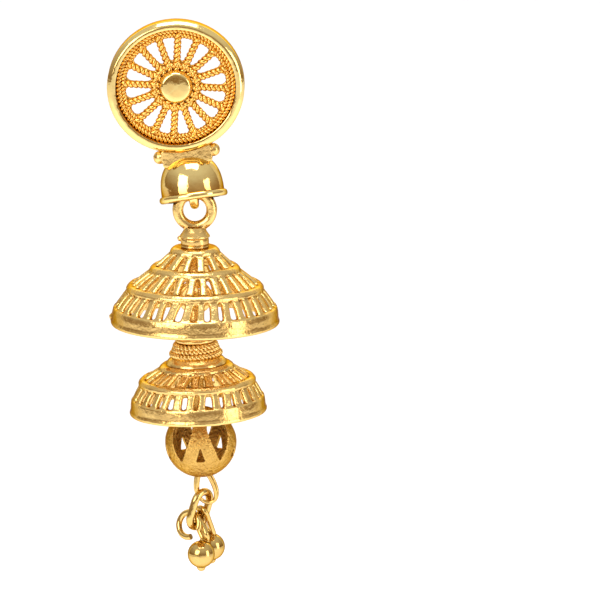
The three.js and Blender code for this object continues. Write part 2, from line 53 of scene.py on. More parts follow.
# Camera: a long lens a little above the earring, set so that the disc's centre falls where
# the photograph of 600 by 600 pixels has it, at the scale that gives the disc its 15 mm.
PHOTO_SIDE = 600
MM_PER_PIXEL = 0.108
DISC_PIXEL = (175.6, 87.8)
ELEVATION = math.radians(12)
CAMERA_DISTANCE = 600
SENSOR = 36

disc_low, disc_high = (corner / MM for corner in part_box("stud_disc"))
camera_up = Vector((0, math.sin(ELEVATION), math.cos(ELEVATION)))
camera_back = Vector((0, -math.cos(ELEVATION), math.sin(ELEVATION)))
aim = Vector((0, disc_low.y, 0))
aim.x += (PHOTO_SIDE / 2 - DISC_PIXEL[0]) * MM_PER_PIXEL
aim -= camera_up * (PHOTO_SIDE / 2 - DISC_PIXEL[1]) * MM_PER_PIXEL

camera = bpy.data.objects.new("camera", bpy.data.cameras.new("camera"))
camera.data.sensor_width = SENSOR
camera.data.lens = SENSOR * CAMERA_DISTANCE / (PHOTO_SIDE * MM_PER_PIXEL)
camera.data.clip_start = 0.01
camera.location = (aim + camera_back * CAMERA_DISTANCE) * MM
camera.rotation_euler = (math.pi / 2 - ELEVATION, 0, 0)
scene.collection.objects.link(camera)
scene.camera = camera


# Studio: a pale paper sweep that runs from floor to backdrop, lit by soft boxes from the upper
# left, the right, above and behind, in a room that is white overhead and brown at the floor.
FLOOR_DROP = 150
SWEEP_HALF_WIDTH = 1800
SWEEP_FRONT = -1700
SWEEP_BACK = 1100
SWEEP_RADIUS = 300
SWEEP_HEIGHT = 1300
SWEEP_STEPS = 12
PAPER = "F8F8F9"
PAPER_GLOW = 0.34
ROOM_LOW = "34260F"
ROOM_MIDDLE = "AC906A"
ROOM_TOP = "FFFFFF"
ROOM_FADE = 0.7
ROOM_STRENGTH = 0.72
LAMP_AIM = Vector((0, 0, -28))

# The name of each soft box, its place, its width and height, its power and its colour.
SOFT_BOXES = [
    ("key", (-230, -330, 150), (260, 260), 0.95, "FFF9EE"),
    ("fill", (360, -200, 40), (150, 300), 0.5, "FFF6E8"),
    ("top", (0, -60, 330), (240, 160), 0.7, "FFFFFF"),
    ("back", (0, 330, 120), (420, 200), 0.35, "FFFFFF"),
]


def linear(code, alpha=1.0):
    """An sRGB hex value as the linear colour that a socket takes."""
    parts = [int(code[i : i + 2], 16) / 255 for i in (0, 2, 4)]
    return [p / 12.92 if p <= 0.04045 else ((p + 0.055) / 1.055) ** 2.4 for p in parts] + [alpha]


def add(tree, kind, settings=None, links=None):
    """A new node, with its settings and inputs set and its inputs linked."""
    node = tree.nodes.new(kind)
    for name, value in (settings or {}).items():
        if isinstance(name, int) or name in node.inputs:
            node.inputs[name].default_value = value
        else:
            setattr(node, name, value)
    for name, source in (links or {}).items():
        tree.links.new(source, node.inputs[name])
    return node


# Matt background paper, lit a little from behind: rough, without a shine, its fibre barely seen.
def background_paper():
    material = bpy.data.materials.new("matt background paper")
    material.use_nodes = True
    tree = material.node_tree
    tree.nodes.clear()
    where = add(tree, "ShaderNodeTexCoord")
    fibre = add(tree, "ShaderNodeTexNoise", {"Scale": 900, "Detail": 3}, {"Vector": where.outputs["Object"]})
    bump = add(tree, "ShaderNodeBump", {"Strength": 0.05}, {"Height": fibre.outputs["Fac"]})
    shader = add(
        tree,
        "ShaderNodeBsdfPrincipled",
        {
            "Base Color": linear(PAPER),
            "Roughness": 0.9,
            "Specular IOR Level": 0.1,
            "Emission Color": linear(PAPER),
            "Emission Strength": PAPER_GLOW,
        },
        {"Normal": bump.outputs["Normal"]},
    )
    add(tree, "ShaderNodeOutputMaterial", links={"Surface": shader.outputs["BSDF"]})
    return material


def mesh_object(name, points, faces=(), edges=()):
    mesh = bpy.data.meshes.new(name)
    mesh.from_pydata(points, edges, faces)
    thing = bpy.data.objects.new(name, mesh)
    scene.collection.objects.link(thing)
    return thing


profile = [(SWEEP_FRONT, 0), (SWEEP_BACK - SWEEP_RADIUS, 0)]
for step in range(1, SWEEP_STEPS + 1):
    turn = step / SWEEP_STEPS * math.pi / 2
    along = SWEEP_BACK - SWEEP_RADIUS + SWEEP_RADIUS * math.sin(turn)
    profile.append((along, SWEEP_RADIUS * (1 - math.cos(turn))))
profile.append((SWEEP_BACK, SWEEP_HEIGHT))
sweep_points = []
for along, height in profile:
    for side in (-1, 1):
        sweep_points.append((side * SWEEP_HALF_WIDTH * MM, along * MM, (height - FLOOR_DROP) * MM))
sweep_faces = [(i, i + 1, i + 3, i + 2) for i in range(0, len(sweep_points) - 2, 2)]
sweep = mesh_object("sweep", sweep_points, sweep_faces)
sweep.data.materials.append(background_paper())
sweep.data.polygons.foreach_set("use_smooth", [True] * len(sweep_faces))


def soft_box(name, place, size, power, colour):
    lamp = bpy.data.lights.new(name, "AREA")
    lamp.shape = "RECTANGLE"
    lamp.size, lamp.size_y = size[0] * MM, size[1] * MM
    lamp.energy = power
    lamp.color = linear(colour)[:3]
    thing = bpy.data.objects.new(name, lamp)
    place = Vector(place)
    thing.location = place * MM
    thing.rotation_euler = (LAMP_AIM - place).to_track_quat("-Z", "Y").to_euler()
    scene.collection.objects.link(thing)


for values in SOFT_BOXES:
    soft_box(*values)

world = bpy.data.worlds.new("studio")
world.use_nodes = True
room = world.node_tree
room.nodes.clear()
direction = add(room, "ShaderNodeTexCoord")
height = add(room, "ShaderNodeSeparateXYZ", links={"Vector": direction.outputs["Generated"]})
level = add(
    room,
    "ShaderNodeMapRange",
    {"From Min": -ROOM_FADE, "From Max": ROOM_FADE},
    {"Value": height.outputs["Z"]},
)
shade = add(room, "ShaderNodeValToRGB", links={"Fac": level.outputs["Result"]})
shade.color_ramp.elements[0].color = linear(ROOM_LOW)
shade.color_ramp.elements[1].color = linear(ROOM_TOP)
shade.color_ramp.elements.new(0.5).color = linear(ROOM_MIDDLE)
light = add(room, "ShaderNodeBackground", {"Strength": ROOM_STRENGTH}, {"Color": shade.outputs["Color"]})
add(room, "ShaderNodeOutputWorld", links={"Surface": light.outputs["Background"]})
scene.world = world
scene.view_settings.view_transform = "Standard"


# Stud disc: a bezel of polished strip round a set-back wheel, all of gold plated brass. The wheel
# is cast, with ropes of two twisted wires for its 16 spokes and its rings, and the bridge and
# two granules soldered under the bezel carry the cap.
STUD_LEAN = math.radians(-8.7)
DISC_R = 7.45
DISC_DEPTH = 2.3
BEZEL_FACE = 0.95
BEZEL_EDGE = 0.2
BEZEL_BEVEL = 0.42
BEZEL_FLATTENED = 0.97
BEZEL_SIDES = 96
PLATE_FRONT = 0.95
PLATE_BACK = 0.35
PLATE_EDGE = 0.08
PLATE_OVERLAP = 0.05
WINDOW_OUTER_R = 5.5
WINDOW_INNER_R = 2.75
WINDOW_OUTER_ROUND = 0.8
WINDOW_INNER_ROUND = 0.6
WINDOW_STEPS = 14
SPOKES = 16
SPOKE_HALF = 0.29
SPOKE_START = 0.65
SPOKE_STEPS = 12
ROPE_WIRE_R = 0.22
ROPE_RINGS = [(5.72, 0.16), (6.2, 0.18)]
ROPE_STAGGER = 0.12
ROPE_LAY = 1.05
HUB_R = 2.5
HUB_DEPTH = 1.1
HUB_BELLY = 0.5
SOLDER_BITE = 0.3
BRIDGE = Vector((5.4, 1.5, 2.0))
BRIDGE_RISE = 0.45
BRIDGE_HALF = [(0, 0.5), (0.42, 0.5), (0.48, 0.46), (0.5, 0.38)]
GRANULE_R = 0.72
GRANULE_SPREAD = 2.94
stud_turn = Matrix.Rotation(STUD_LEAN, 4, "Y")
drop_y = (disc_low.y + disc_high.y) / 2

# Gold plated brass: the lighter gold on the high places, with a deeper, redder gold painted into
# the hollows as their shade. A wave of about a millimetre is the casting, and the grain is the tumbling.
EDGE_TINT = "A07A48"
WAVE_LENGTH = 1.1


def gold_plated(name, light, hollow_shade_colour, roughness, wave, grain, grain_depth, hollow=0.06):
    material = bpy.data.materials.new(name)
    material.use_nodes = True
    tree = material.node_tree
    tree.nodes.clear()
    where = add(tree, "ShaderNodeTexCoord").outputs["Object"]
    swell = add(tree, "ShaderNodeTexNoise", {"Scale": 1 / (WAVE_LENGTH * MM), "Detail": 2}, {"Vector": where})
    fine = add(tree, "ShaderNodeTexNoise", {"Scale": 1 / (grain * MM), "Detail": 4}, {"Vector": where})
    # Painted shade: low pointiness, in the hollows, turns the gold towards its deeper colour.
    painted_shade = add(
        tree,
        "ShaderNodeMapRange",
        {"From Min": 0.5 - hollow, "From Max": 0.5 + hollow * 0.3},
        {"Value": add(tree, "ShaderNodeNewGeometry").outputs["Pointiness"]},
    )
    patches_and_painted_shade = add(
        tree,
        "ShaderNodeMath",
        {"operation": "MULTIPLY_ADD", 1: 0.5},
        {0: swell.outputs["Fac"], 2: painted_shade.outputs["Result"]},
    )
    tone = add(
        tree,
        "ShaderNodeMath",
        {"operation": "SUBTRACT", "use_clamp": True, 1: 0.25},
        {0: patches_and_painted_shade.outputs[0]},
    )
    # The mix paints the shade of the hollows, with random patches from the wave, into the base colour.
    colour = add(
        tree, "ShaderNodeMix", {"data_type": "RGBA", 6: linear(hollow_shade_colour), 7: linear(light)}, {0: tone.outputs[0]}
    )
    gloss = add(
        tree,
        "ShaderNodeMapRange",
        {"From Min": 0.3, "From Max": 0.7, "To Min": roughness * 0.7, "To Max": roughness * 1.4},
        {"Value": fine.outputs["Fac"]},
    )
    cast = add(tree, "ShaderNodeBump", {"Distance": wave * MM}, {"Height": swell.outputs["Fac"]})
    tumbled = add(
        tree,
        "ShaderNodeBump",
        {"Distance": grain_depth * MM},
        {"Height": fine.outputs["Fac"], "Normal": cast.outputs["Normal"]},
    )
    shader = add(
        tree,
        "ShaderNodeBsdfPrincipled",
        {"Metallic": 1.0, "Specular Tint": linear(EDGE_TINT)},
        {
            "Base Color": colour.outputs[2],
            "Roughness": gloss.outputs["Result"],
            "Normal": tumbled.outputs["Normal"],
        },
    )
    add(tree, "ShaderNodeOutputMaterial", links={"Surface": shader.outputs["BSDF"]})
    return material


# Each second colour is painted shade for the hollows. The twisted wire's gold is darker overall and takes
# more of that shade.
polished_gold = gold_plated("polished gold plated brass", "F7D98E", "D89C44", 0.1, 0.045, 0.9, 0.003)
cast_gold = gold_plated("cast and tumbled gold plated brass", "F5D084", "98601C", 0.2, 0.07, 0.35, 0.04, 0.08)
wire_gold = gold_plated("twisted gold plated brass wire", "ECBE68", "8E5012", 0.2, 0.05, 0.25, 0.02, 0.13)


def turned(name, rows, sides, closed=False):
    """A mesh turned about Z from rows of radius and height. A row on the axis is one point."""
    points, rings = [], []
    for radius, level in rows:
        count = sides if radius > 0 else 1
        rings.append([len(points) + i % count for i in range(sides)])
        for i in range(count):
            turn = 2 * math.pi * i / sides
            points.append((radius * math.cos(turn), radius * math.sin(turn), level))
    faces = []
    for above, below in list(zip(rings, rings[1:])) + ([(rings[-1], rings[0])] if closed else []):
        for i in range(sides):
            j = (i + 1) % sides
            corners = [above[i], below[i], below[j], above[j]]
            corners = [v for k, v in enumerate(corners) if v not in corners[:k]]
            if len(corners) > 2:
                faces.append(corners)
    return mesh_object(name, points, faces)


def with_tree(thing, tree, values):
    """Puts a geometry tree on a piece, with its inputs set by the identifier of their names."""
    modifier = thing.modifiers.new(tree.name, "NODES")
    modifier.node_group = tree
    for item in tree.interface.items_tree:
        if item.in_out == "INPUT" and item.name in values:
            modifier[item.identifier] = values[item.name]


def plain_mesh(parts, placing=Matrix()):
    """One mesh of all the parts as their modifiers leave them, placed, with faces outwards."""
    graph = bpy.context.evaluated_depsgraph_get()
    graph.update()
    whole = bmesh.new()
    for part in parts:
        mesh = bpy.data.meshes.new_from_object(part.evaluated_get(graph))
        mesh.transform(placing @ part.matrix_world)
        whole.from_mesh(mesh)
        bpy.data.meshes.remove(mesh)
        bpy.data.objects.remove(part)
    bmesh.ops.remove_doubles(whole, verts=whole.verts, dist=1e-4)
    bmesh.ops.recalc_face_normals(whole, faces=whole.faces)
    mesh = bpy.data.meshes.new("plain")
    whole.to_mesh(mesh)
    whole.free()
    return mesh


def finished(name, parts, material, placing=Matrix(), voxel=0.0, soften=0, sharp=0):
    """A finished piece in metres. With a voxel size the parts run into one skin, as cast."""
    piece = bpy.data.objects.new(name, plain_mesh(parts, placing))
    scene.collection.objects.link(piece)
    if voxel:
        skin = piece.modifiers.new("one skin", "REMESH")
        skin.mode = "VOXEL"
        skin.voxel_size = voxel
        rounding = piece.modifiers.new("rounding", "SMOOTH")
        rounding.iterations = soften
        graph = bpy.context.evaluated_depsgraph_get()
        graph.update()
        mesh = bpy.data.meshes.new_from_object(piece.evaluated_get(graph))
        piece.modifiers.clear()
        piece.data = mesh
    piece.data.name = name
    piece.data.transform(Matrix.Scale(MM, 4))
    piece.data.materials.append(material)
    piece.data.shade_smooth()
    if sharp:
        piece.data.set_sharp_from_angle(angle=math.radians(sharp))
    return piece


def fitted(piece, body, slot, *nodes):
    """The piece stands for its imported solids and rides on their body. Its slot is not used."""
    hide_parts(*nodes)
    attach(piece, body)


def new_tree(name, inputs):
    """A geometry tree with named inputs. Gives the tree and the sockets of those inputs."""
    tree = bpy.data.node_groups.new(name, "GeometryNodeTree")
    tree.interface.new_socket("Geometry", in_out="OUTPUT", socket_type="NodeSocketGeometry")
    tree.interface.new_socket("Geometry", in_out="INPUT", socket_type="NodeSocketGeometry")
    for label, kind in inputs.items():
        tree.interface.new_socket(label, in_out="INPUT", socket_type="NodeSocket" + kind)
    return tree, add(tree, "NodeGroupInput").outputs


def closed_off(tree, geometry, material):
    """Ends a tree: instances made real and the material set."""
    real = add(tree, "GeometryNodeRealizeInstances", links={"Geometry": geometry})
    painted = add(
        tree, "GeometryNodeSetMaterial", links={"Geometry": real.outputs["Geometry"], "Material": material}
    )
    add(tree, "NodeGroupOutput", links={0: painted.outputs["Geometry"]})


# Ropes: two wires wound round each path of edges, a wire's radius to each side of it.
kinds = {"Wire Radius": "Float", "Lay": "Float", "Step": "Float", "Material": "Material"}
twisted_rope, given = new_tree("twisted rope", kinds)
path = add(twisted_rope, "GeometryNodeMeshToCurve", links={"Mesh": given["Geometry"]})
even = add(
    twisted_rope,
    "GeometryNodeResampleCurve",
    {"mode": "LENGTH"},
    {"Curve": path.outputs["Curve"], "Length": given["Step"]},
)
along = add(twisted_rope, "GeometryNodeSplineParameter").outputs["Length"]
turns = add(twisted_rope, "ShaderNodeMath", {"operation": "DIVIDE"}, {0: along, 1: given["Lay"]})
angle = add(twisted_rope, "ShaderNodeMath", {"operation": "MULTIPLY", 1: 2 * math.pi}, {0: turns.outputs[0]})
normal = add(twisted_rope, "GeometryNodeInputNormal").outputs["Normal"]
tangent = add(twisted_rope, "GeometryNodeInputTangent").outputs["Tangent"]
side = add(twisted_rope, "ShaderNodeVectorMath", {"operation": "CROSS_PRODUCT"}, {0: tangent, 1: normal})
section = add(
    twisted_rope, "GeometryNodeCurvePrimitiveCircle", {"Resolution": 8}, {"Radius": given["Wire Radius"]}
)
both_wires = add(twisted_rope, "GeometryNodeJoinGeometry")
for phase in (0, math.pi):
    wound = add(twisted_rope, "ShaderNodeMath", {"operation": "ADD", 1: phase}, {0: angle.outputs[0]})
    shifts = []
    for operation, basis in (("COSINE", normal), ("SINE", side.outputs[0])):
        share = add(twisted_rope, "ShaderNodeMath", {"operation": operation}, {0: wound.outputs[0]})
        reach = add(
            twisted_rope,
            "ShaderNodeMath",
            {"operation": "MULTIPLY"},
            {0: share.outputs[0], 1: given["Wire Radius"]},
        )
        shift = add(
            twisted_rope,
            "ShaderNodeVectorMath",
            {"operation": "SCALE"},
            {0: basis, "Scale": reach.outputs[0]},
        )
        shifts.append(shift.outputs[0])
    offset = add(twisted_rope, "ShaderNodeVectorMath", {"operation": "ADD"}, {0: shifts[0], 1: shifts[1]})
    moved = add(
        twisted_rope,
        "GeometryNodeSetPosition",
        links={"Geometry": even.outputs["Curve"], "Offset": offset.outputs[0]},
    )
    wire = add(
        twisted_rope,
        "GeometryNodeCurveToMesh",
        {"Fill Caps": True},
        {"Curve": moved.outputs["Geometry"], "Profile Curve": section.outputs["Curve"]},
    )
    twisted_rope.links.new(wire.outputs["Mesh"], both_wires.inputs["Geometry"])
closed_off(twisted_rope, both_wires.outputs["Geometry"], given["Material"])


def paths_object(name, paths):
    """Edge paths, each a list of points and whether it closes on itself."""
    points, edges = [], []
    for path, closed in paths:
        first = len(points)
        points.extend(tuple(point) for point in path)
        edges.extend((first + i, first + i + 1) for i in range(len(path) - 1))
        if closed:
            edges.append((len(points) - 1, first))
    return mesh_object(name, points, edges=edges)


def rope(paths, wire_radius, lay):
    thing = paths_object("rope", paths)
    values = {"Wire Radius": wire_radius, "Lay": lay, "Step": wire_radius / 2, "Material": wire_gold}
    with_tree(thing, twisted_rope, values)
    return thing


def rope_ring(radius, level, wire_radius):
    """A closed rope about Z, with the lay that divides its length evenly."""
    turns = [2 * math.pi * i / 72 for i in range(72)]
    length = 2 * math.pi * radius
    ring = [(radius * math.cos(t), radius * math.sin(t), level) for t in turns]
    windings = round(length / (ROPE_LAY * wire_radius / ROPE_WIRE_R))
    return rope([(ring, True)], wire_radius, length / windings)


def flat_form(name, outlines, thickness, edge=0.0):
    """A flat form in XY from closed outlines, the first one outside and the others holes."""
    drawn = bpy.data.curves.new(name, "CURVE")
    drawn.dimensions = "2D"
    drawn.fill_mode = "BOTH"
    drawn.extrude = thickness / 2 - edge
    drawn.bevel_depth = edge
    drawn.bevel_resolution = 1
    drawn.offset = -edge
    for outline in outlines:
        spline = drawn.splines.new("POLY")
        spline.points.add(len(outline) - 1)
        for point, (across, up) in zip(spline.points, outline):
            point.co = (across, up, 0, 1)
        spline.use_cyclic_u = True
    shown = bpy.data.objects.new(name, drawn)
    scene.collection.objects.link(shown)
    graph = bpy.context.evaluated_depsgraph_get()
    graph.update()
    mesh = bpy.data.meshes.new_from_object(shown.evaluated_get(graph))
    bpy.data.objects.remove(shown)
    thing = bpy.data.objects.new(name, mesh)
    scene.collection.objects.link(thing)
    return thing


def window_outline(turn):
    """One window of the wheel: sides along two spokes, and round ends."""
    outline = []
    steps = [i / WINDOW_STEPS for i in range(WINDOW_STEPS + 1)]
    for side, shares in ((1, steps), (-1, steps[-2:0:-1])):
        for share in shares:
            rho = WINDOW_INNER_R + (WINDOW_OUTER_R - WINDOW_INNER_R) * (1 - math.cos(share * math.pi)) / 2
            outer = max(0.0, 1 - (WINDOW_OUTER_R - rho) / WINDOW_OUTER_ROUND)
            inner = max(0.0, 1 - (rho - WINDOW_INNER_R) / WINDOW_INNER_ROUND)
            half = rho * math.tan(math.pi / SPOKES) - SPOKE_HALF
            half *= math.sqrt(1 - outer**2) * math.sqrt(1 - inner**2)
            angle = turn + side * math.atan2(half, rho)
            outline.append((rho * math.sin(angle), rho * math.cos(angle)))
    return outline


# Everything of the disc is made lying down, face up, and then stood up to face forwards. The
# bezel is bent round the wheel by hand, and is a little lower than it is wide.
facing = stud_turn @ Matrix.Rotation(math.pi / 2, 4, "X")
oval = Matrix.Diagonal((1, BEZEL_FLATTENED, 1, 1))
bezel_inner = DISC_R - BEZEL_FACE
bezel_rows = [
    (DISC_R - BEZEL_EDGE / 2, 0),
    (DISC_R, BEZEL_EDGE / 2),
    (DISC_R, DISC_DEPTH - BEZEL_BEVEL),
    (DISC_R - BEZEL_EDGE * 0.2, DISC_DEPTH - BEZEL_BEVEL + BEZEL_EDGE * 0.5),
    (DISC_R - BEZEL_BEVEL, DISC_DEPTH - BEZEL_EDGE * 0.2),
    (DISC_R - BEZEL_BEVEL - BEZEL_EDGE * 0.4, DISC_DEPTH),
    (bezel_inner + BEZEL_EDGE * 0.5, DISC_DEPTH),
    (bezel_inner + BEZEL_EDGE * 0.15, DISC_DEPTH - BEZEL_EDGE * 0.15),
    (bezel_inner, DISC_DEPTH - BEZEL_EDGE),
    (bezel_inner, 0),
]
bezel_ring = turned("bezel", bezel_rows, BEZEL_SIDES, closed=True)
bezel = finished("bezel", [bezel_ring], polished_gold, facing @ oval, sharp=35)
fitted(bezel, "stud", "polished_gold_finish", "stud_disc")

plate_r = bezel_inner + PLATE_OVERLAP
turns = [2 * math.pi * i / BEZEL_SIDES for i in range(BEZEL_SIDES)]
plate_rim = [(plate_r * math.cos(t), plate_r * math.sin(t)) for t in turns]
windows = [window_outline(2 * math.pi * i / SPOKES) for i in range(SPOKES)]
plate = flat_form("plate", [plate_rim] + windows, PLATE_FRONT - PLATE_BACK, PLATE_EDGE)
plate.matrix_world = Matrix.Translation((0, 0, (PLATE_FRONT + PLATE_BACK) / 2))
rope_level = PLATE_FRONT + ROPE_WIRE_R * 0.8
spoke_start = HUB_R * SPOKE_START
spoke_length = ROPE_RINGS[0][0] - spoke_start
reaches = [spoke_start + spoke_length * k / SPOKE_STEPS for k in range(SPOKE_STEPS + 1)]
spokes = []
for i in range(SPOKES):
    turn = 2 * math.pi * (i + 0.5) / SPOKES
    ray = Vector((math.sin(turn), math.cos(turn), 0))
    spokes.append(([ray * reach + Vector((0, 0, rope_level)) for reach in reaches], False))
hub_rows = [(0, 0), (HUB_R * 0.85, 0), (HUB_R, HUB_BELLY), (HUB_R * 0.85, HUB_DEPTH), (0, HUB_DEPTH)]
wheel_parts = [
    plate,
    rope(spokes, ROPE_WIRE_R, ROPE_LAY),
    rope_ring(HUB_R * 0.92, rope_level + ROPE_STAGGER, ROPE_WIRE_R * 0.8),
    turned("hub", hub_rows, 48),
]
for radius, wire_radius in ROPE_RINGS:
    outer_rope = rope_ring(radius, rope_level - ROPE_STAGGER, wire_radius)
    outer_rope.matrix_world = oval
    wheel_parts.append(outer_rope)
wheel = finished("stud_wheel", wheel_parts, wire_gold, facing, sharp=50)
fitted(wheel, "stud", "cast_gold_finish", "stud_disc")

# The bridge is a block with eased edges: its rows are in shares of its size, the upper half.
solder_level = -(DISC_R - SOLDER_BITE)
block_rows = BRIDGE_HALF + [(out, -level) for out, level in reversed(BRIDGE_HALF)]
block = turned("bridge", block_rows, 4)
block.data.transform(Matrix.Rotation(math.pi / 4, 4, "Z"))
block.data.transform(Matrix.Diagonal((math.sqrt(2) * BRIDGE.x, math.sqrt(2) * BRIDGE.y, BRIDGE.z, 1)))
block.matrix_world = Matrix.Translation((0, drop_y, solder_level + BRIDGE_RISE - BRIDGE.z / 2))


def ball_mesh(name, radius, centre, sides=32, steps=20):
    """A round ball from pole to pole."""
    leans = [math.pi * k / steps for k in range(steps + 1)]
    rows = [(radius * math.sin(lean), radius * math.cos(lean)) for lean in leans]
    rows[0], rows[-1] = (0, radius), (0, -radius)
    thing = turned(name, rows, sides)
    thing.matrix_world = Matrix.Translation(centre)
    return thing


granules = []
for side in (-1, 1):
    centre = (side * GRANULE_SPREAD, drop_y, solder_level - GRANULE_R / 2)
    granules.append(ball_mesh("granule", GRANULE_R, centre))
bridge = finished("stud_bridge", [block] + granules, cast_gold, stud_turn, voxel=0.07, soften=2)
fitted(bridge, "stud", "cast_gold_finish", "stud_disc")


# Boss: a round dome on the hub with a nearly flat face filed and polished on it, cast in brass
# and gold plated.
BOSS_R = 1.87
BOSS_FACE_R = 1.35
BOSS_HEIGHT = 1.25
BOSS_FOOT = 0.1
BOSS_CROWN = 0.08
BOSS_STEPS = 8
foot_level = HUB_DEPTH + BOSS_FOOT
boss_rows = [(0, HUB_DEPTH), (BOSS_R * 0.97, HUB_DEPTH), (BOSS_R, foot_level)]
for step in range(1, BOSS_STEPS + 1):
    lean = step / BOSS_STEPS * math.pi / 2
    out = BOSS_FACE_R + (BOSS_R - BOSS_FACE_R) * math.cos(lean)
    boss_rows.append((out, foot_level + (BOSS_HEIGHT - BOSS_FOOT) * math.sin(lean)))
for share in (0.75, 0.5, 0.25, 0):
    boss_rows.append((BOSS_FACE_R * share, HUB_DEPTH + BOSS_HEIGHT + BOSS_CROWN * (1 - share**2)))
boss = finished("boss", [turned("boss", boss_rows, 64)], polished_gold, facing, sharp=28)
fitted(boss, "stud", "polished_gold_finish", "centre_boss")


# Ear post: a plain drawn brass pin with a soldered pad, gold plated, which goes through the
# lobe behind the disc.
POST_R = 0.45
POST_LENGTH = 10.5
POST_PAD_R = 1.2
POST_PAD_DEPTH = 0.4
POST_FILLET = 0.2
post_rows = [
    (0, 0),
    (POST_PAD_R, 0),
    (POST_PAD_R, POST_PAD_DEPTH * 0.7),
    (POST_PAD_R * 0.9, POST_PAD_DEPTH),
    (POST_R * 1.3, POST_PAD_DEPTH),
    (POST_R, POST_PAD_DEPTH + POST_FILLET),
    (POST_R, POST_LENGTH - POST_R),
    (POST_R * 0.75, POST_LENGTH - POST_R * 0.4),
    (POST_R * 0.35, POST_LENGTH - POST_R * 0.05),
    (0, POST_LENGTH),
]
backwards = stud_turn @ Matrix.Rotation(-math.pi / 2, 4, "X")
post = finished("ear_pin", [turned("post", post_rows, 32)], polished_gold, backwards, sharp=35)
fitted(post, "stud", "polished_gold_finish", "ear_post")


# Cap: a half dome pressed from brass sheet with a wire bead round its mouth, polished and
# gold plated, and the cast ring soldered inside it that the bells hang on.
CAP_R = 3.45
CAP_HEIGHT = 4.9
CAP_WALL = 0.55
CAP_FULLNESS = 0.78
CAP_LIP = 0.3
CAP_LIP_HEIGHT = 0.75
CAP_STEPS = 14
CAP_PITCH = math.radians(-12)
CAP_DROP = 12.7
BEAD_STEPS = 8
HOOK_BELOW = 0.5
HOOK_R = 1.35
HOOK_WIRE_R = 0.5
HOOK_STEM_R = HOOK_WIRE_R * 1.2
HOOK_STEM_LENGTH = 1.9
WIRE_SIDES = 14


def dome_rows(radius, height):
    """Rows of a dome from just above the lip up to its apex."""
    rows = []
    for step in range(CAP_STEPS + 1):
        lean = step / CAP_STEPS * math.pi / 2
        above = (height - CAP_LIP_HEIGHT) * math.sin(lean) ** CAP_FULLNESS
        out = 0 if step == CAP_STEPS else radius * math.cos(lean) ** CAP_FULLNESS
        rows.append((out, CAP_LIP_HEIGHT + above))
    return rows


def torus_mesh(name, radius, wire_radius, placing):
    """A round wire ring about Z, placed."""
    rows = []
    for k in range(WIRE_SIDES):
        turn = 2 * math.pi * k / WIRE_SIDES
        rows.append((radius + wire_radius * math.cos(turn), wire_radius * math.sin(turn)))
    thing = turned(name, rows, 48, closed=True)
    thing.matrix_world = placing
    return thing


def stem_mesh(radius, length, foot):
    """A plain round stem that stands on its foot."""
    thing = turned("stem", [(0, 0), (radius, 0), (radius, length), (0, length)], 24)
    thing.matrix_world = Matrix.Translation(foot)
    return thing


leans = [math.pi * k / BEAD_STEPS for k in range(BEAD_STEPS + 1)]
bead = [(CAP_R + CAP_LIP * math.sin(t), CAP_LIP_HEIGHT / 2 * (1 - math.cos(t))) for t in leans]
cap_rows = [(CAP_R - CAP_WALL, 0)] + bead + dome_rows(CAP_R, CAP_HEIGHT)
cap_rows += list(reversed(dome_rows(CAP_R - CAP_WALL, CAP_HEIGHT - CAP_WALL)))
cap_rows = [row for i, row in enumerate(cap_rows) if i == 0 or row != cap_rows[i - 1]]
dome = turned("cap", cap_rows, 72, closed=True)
cap_place = Matrix.Translation((0, drop_y, -CAP_DROP))
dome.matrix_world = cap_place @ Matrix.Rotation(CAP_PITCH, 4, "X")
hook_centre = Vector((0, drop_y, -CAP_DROP - HOOK_BELOW + HOOK_R))
edge_on = Matrix.Rotation(math.pi / 2, 4, "Y")
hook = torus_mesh("hook", HOOK_R, HOOK_WIRE_R, Matrix.Translation(hook_centre) @ edge_on)
hook_stem = stem_mesh(HOOK_STEM_R, HOOK_STEM_LENGTH, hook_centre + Vector((0, 0, HOOK_R)))
cap = finished("cap", [dome, hook, hook_stem], polished_gold, stud_turn, sharp=40)
fitted(cap, "stud", "polished_gold_finish", "stud_cap")


# Upper loop: a cast brass ring on a round neck and collar, gold plated, with the small stub
# that is left of its casting gate. It hangs on the hook and is soldered on the upper bell.
RING_GAP = 0.15
SEAT_GAP = 0.1
LOOP_HOLE_R = 1.24
LOOP_WIRE_R = 0.6
NECK_R = 1.2
COLLAR_R = 1.65
COLLAR_HEIGHT = 1.95
COLLAR_PROFILE = [(0.93, 0.38), (1, 0.46), (1, 0.52), (0.87, 0.58), (0.93, 0.66), (0.93, 0.88)]
STUB_R = 0.32
STUB_DROP = 1.15
STUB_FORWARD = 0.3
joint_places = {joint["name"]: Vector(joint["pos_m"]) / MM for joint in frame["joints"]}
hang = joint_places["upper_swing"]
loop_r = LOOP_HOLE_R + LOOP_WIRE_R
loop_centre = hang + Vector((0, 0, RING_GAP + HOOK_WIRE_R - LOOP_HOLE_R))
upright = Matrix.Rotation(math.pi / 2, 4, "X")
collar_top = loop_centre.z - loop_r - LOOP_WIRE_R * 0.2
bell_top = collar_top - COLLAR_HEIGHT
collar_rows = [
    (0, loop_centre.z - loop_r),
    (NECK_R * 0.85, loop_centre.z - loop_r),
    (NECK_R * 0.92, collar_top),
    (NECK_R * 1.08, collar_top - COLLAR_HEIGHT * 0.2),
]
collar_rows += [(COLLAR_R * out, collar_top - COLLAR_HEIGHT * down) for out, down in COLLAR_PROFILE]
collar_rows += [
    (COLLAR_R * 0.88, bell_top),
    (COLLAR_R, bell_top - SEAT_GAP * 1.5),
    (0, bell_top - SEAT_GAP * 1.5),
]
collar = turned("collar", collar_rows, 48)
collar.matrix_world = Matrix.Translation((hang.x, hang.y, 0))
loop_ring = torus_mesh("loop", loop_r, LOOP_WIRE_R, Matrix.Translation(loop_centre) @ upright)
